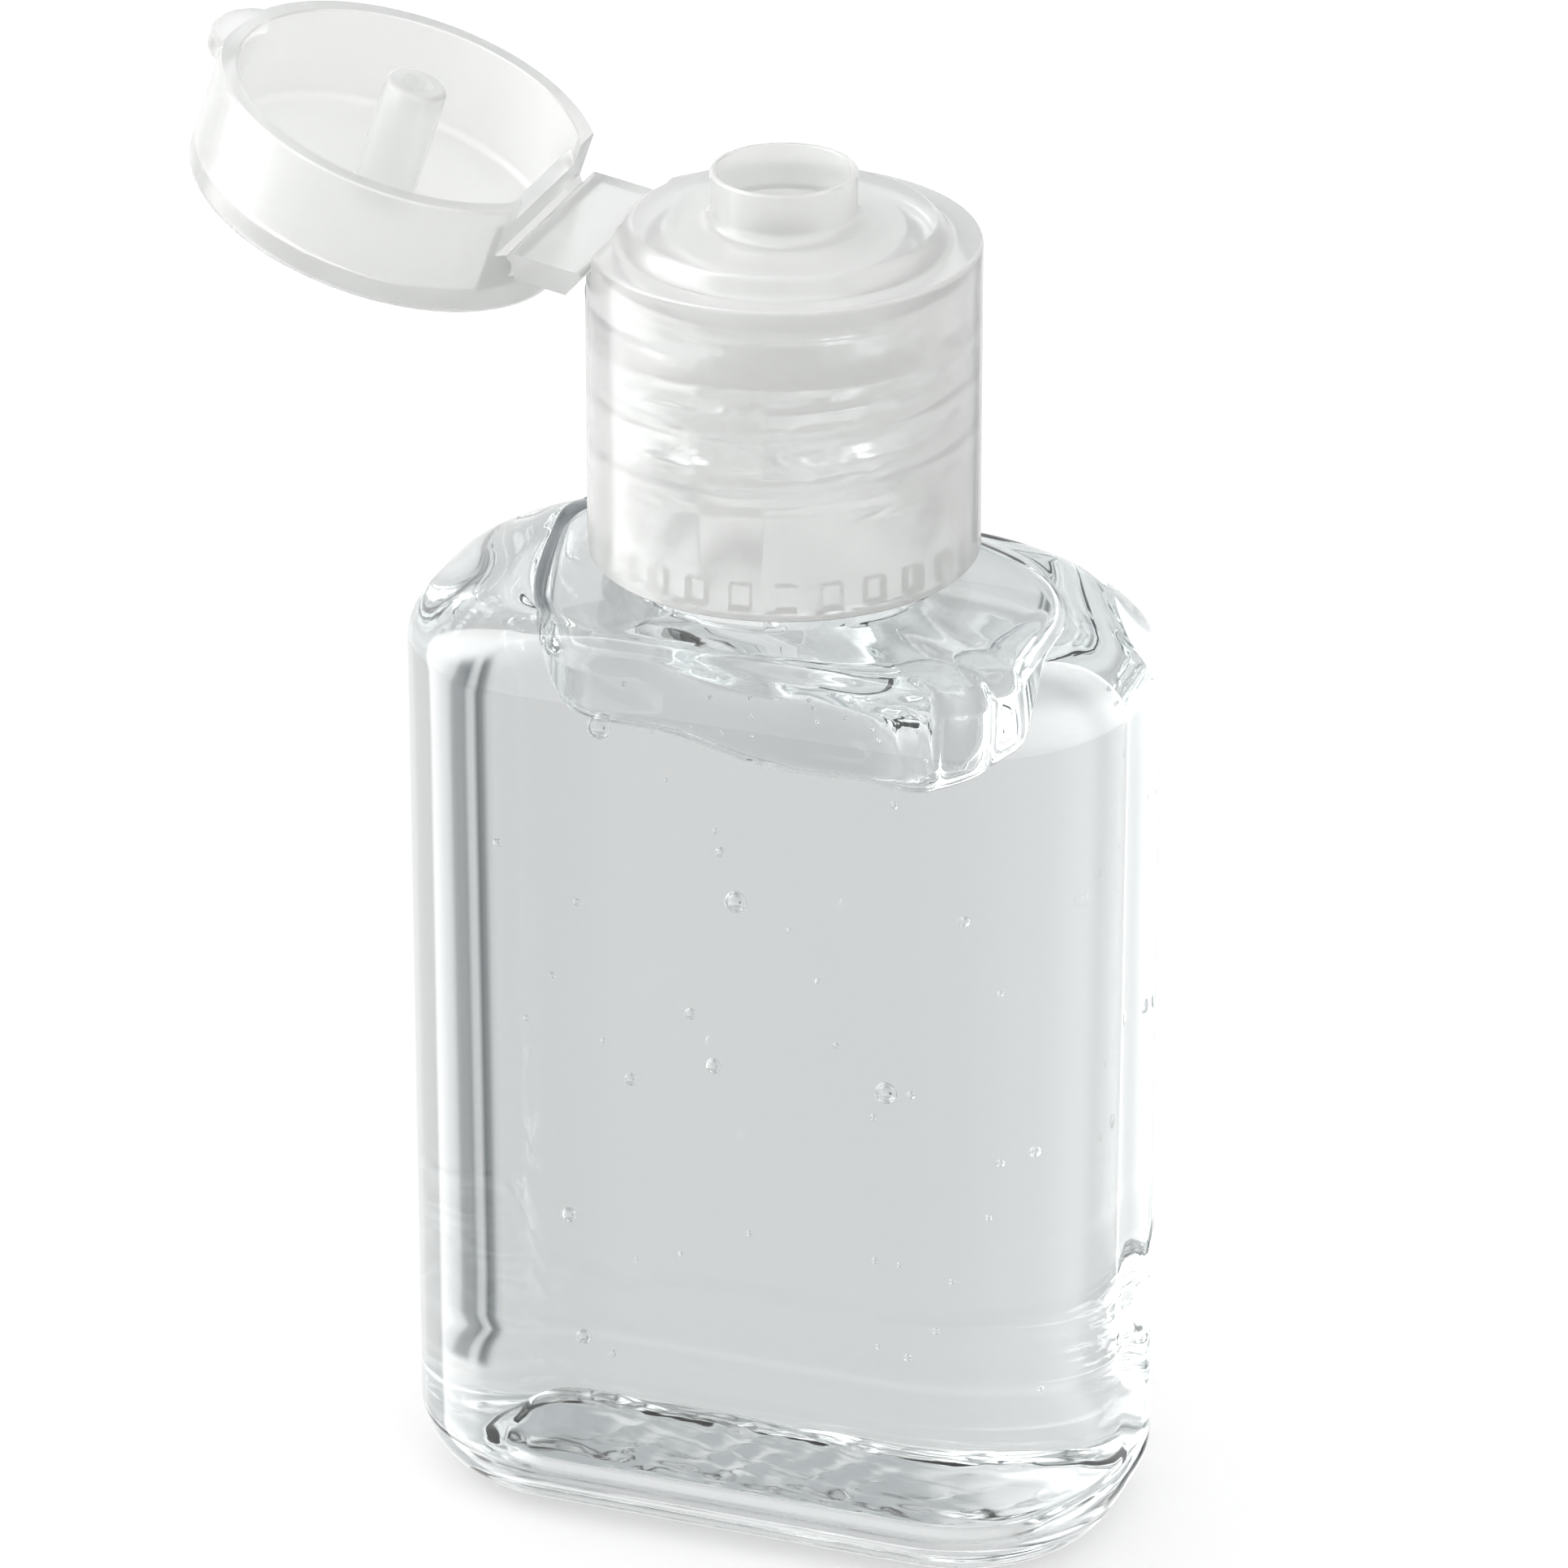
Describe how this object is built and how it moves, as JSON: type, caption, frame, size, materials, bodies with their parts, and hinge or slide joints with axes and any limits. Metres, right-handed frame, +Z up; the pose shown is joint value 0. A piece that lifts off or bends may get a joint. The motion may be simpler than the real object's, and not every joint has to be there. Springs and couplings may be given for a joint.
{
  "type": "hand sanitizer bottle",
  "caption": "Flat clear bottle of hand gel with a screwed-on flip-top cap, whose cup-shaped lid stands open on a strap hinge beside a short nozzle.",
  "frame": {"origin": "on the ground, at the middle of the base and below the neck's axis", "axes": "+Z up along the neck's axis, +X along the wide side away from the hinge, +Y to the back"},
  "size_m": [0.0571, 0.024, 0.0879],
  "materials": {
    "clear_shell": "clear blown plastic, glossy",
    "clear_gel": "clear gel with small air bubbles",
    "cap_plastic": "milky translucent moulded plastic, satin"
  },
  "bodies": {
    "bottle": {"bottle": "clear_shell", "gel": "clear_gel"},
    "cap": {"cap": "cap_plastic"},
    "strap": {"hinge_strap": "cap_plastic"},
    "lid": {"lid": "cap_plastic"}
  },
  "joints": [
    {"name": "cap_turn", "type": "hinge", "parent": "bottle", "child": "cap", "pos_m": [0, 0, 0.07], "axis": [0, 0, 1], "range_deg": [0, 450]},
    {"name": "strap_fold", "type": "hinge", "parent": "cap", "child": "strap", "pos_m": [-0.01001, 0, 0.07765], "axis": [0, 1, 0], "range_deg": [0, 80.65]},
    {"name": "lid_fold", "type": "hinge", "parent": "strap", "child": "lid", "pos_m": [-0.01396, 0, 0.0783], "axis": [0, 1, 0], "range_deg": [0, 80.65]}
  ],
  "couplings": [
    {"joint": "lid_fold", "follows": "strap_fold", "ratio": 1}
  ]
}
